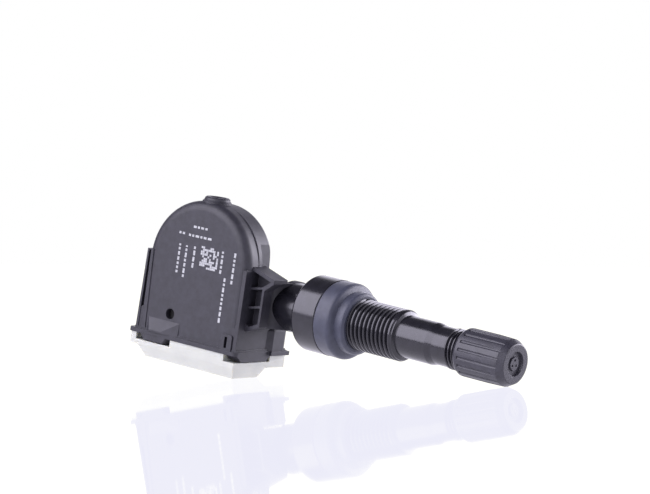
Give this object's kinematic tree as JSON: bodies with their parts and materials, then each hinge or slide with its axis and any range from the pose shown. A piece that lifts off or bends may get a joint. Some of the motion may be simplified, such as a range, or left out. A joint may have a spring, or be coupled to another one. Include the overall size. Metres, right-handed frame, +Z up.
{
  "type": "tyre pressure monitor",
  "caption": "Tyre pressure monitor: dark sensor housing with a milky lid, on a swivelling threaded metal valve stem with a rubber grommet, valve core and ribbed screw cap.",
  "frame": {"origin": "centre of the overall box at table level; the monitor lies on the lower edge of its lid and the rim of its cap", "axes": "+X along the stem towards the cap, level with the table; +Y from the marked face towards the back of the housing; +Z up"},
  "size_m": [0.0856, 0.0182, 0.0352],
  "materials": {
    "housing_plastic": "fine matt moulding",
    "clear_nylon": "milky, slightly see-through",
    "potting_resin": "cream cast resin",
    "board": "solder mask",
    "chip_black": "moulded package",
    "steel": "nickel plated",
    "membrane": "matt",
    "seal_rubber": "matt",
    "cell_filling": "pressed powder",
    "ferrite": "sintered",
    "copper": "enamelled copper",
    "ceramic": "fired",
    "anodised_aluminium": "black gloss anodised",
    "stem_rubber": "matt bluish black",
    "brass": "turned",
    "cap_plastic": "fine matt moulding"
  },
  "bodies": {
    "sensor": {"housing": "housing_plastic", "lid": "clear_nylon", "potting": "potting_resin", "circuit_board": "board", "sensor_package": "chip_black", "sensor_cap": "steel", "port_membrane": "membrane", "port_seal": "seal_rubber", "cell_can": "steel", "cell_cap": "steel", "cell_ring": "membrane", "cell_pellets": "cell_filling", "cell_tab_back": "steel", "cell_tab_front": "steel", "lf_coil_core": "ferrite", "lf_coil_winding": "copper", "antenna_strip": "copper", "chip_components": "ceramic", "crystal_can": "steel", "controller_chip": "chip_black"},
    "stem": {"valve_stem": "anodised_aluminium", "rim_grommet": "stem_rubber", "stem_screw": "steel", "core_plug": "brass", "core_barrel": "brass", "core_gasket": "membrane", "core_spring": "steel"},
    "core_pin": {"core_pin": "brass", "core_cup": "brass", "core_seal": "seal_rubber"},
    "cap_seal": {"cap_seal": "seal_rubber"},
    "cap": {"valve_cap": "cap_plastic"}
  },
  "joints": [
    {"name": "stem_swivel", "type": "hinge", "parent": "sensor", "child": "stem", "pos_m": [-0.01673, 0.00277, 0.01482], "axis": [0.1793, 0, 0.9838], "range_deg": [-7.22, 16.78]},
    {"name": "core_pin_press", "type": "slide", "parent": "stem", "child": "core_pin", "axis": [-0.9804, 0.0833, 0.1786], "range_m": [0, 0.001], "stiffness_N_per_m": 200, "springref_m": -0.002},
    {"name": "cap_lift", "type": "slide", "parent": "stem", "child": "cap_seal", "axis": [0.9804, -0.0833, -0.1786], "range_m": [0, 0.00436]},
    {"name": "cap_turn", "type": "hinge", "parent": "cap_seal", "child": "cap", "pos_m": [0.04209, -0.00223, 0.0041], "axis": [0.9804, -0.0833, -0.1786], "range_deg": [0, 1980]}
  ],
  "couplings": [
    {"joint": "cap_turn", "follows": "cap_lift", "rad_per_m": 7915.8}
  ]
}
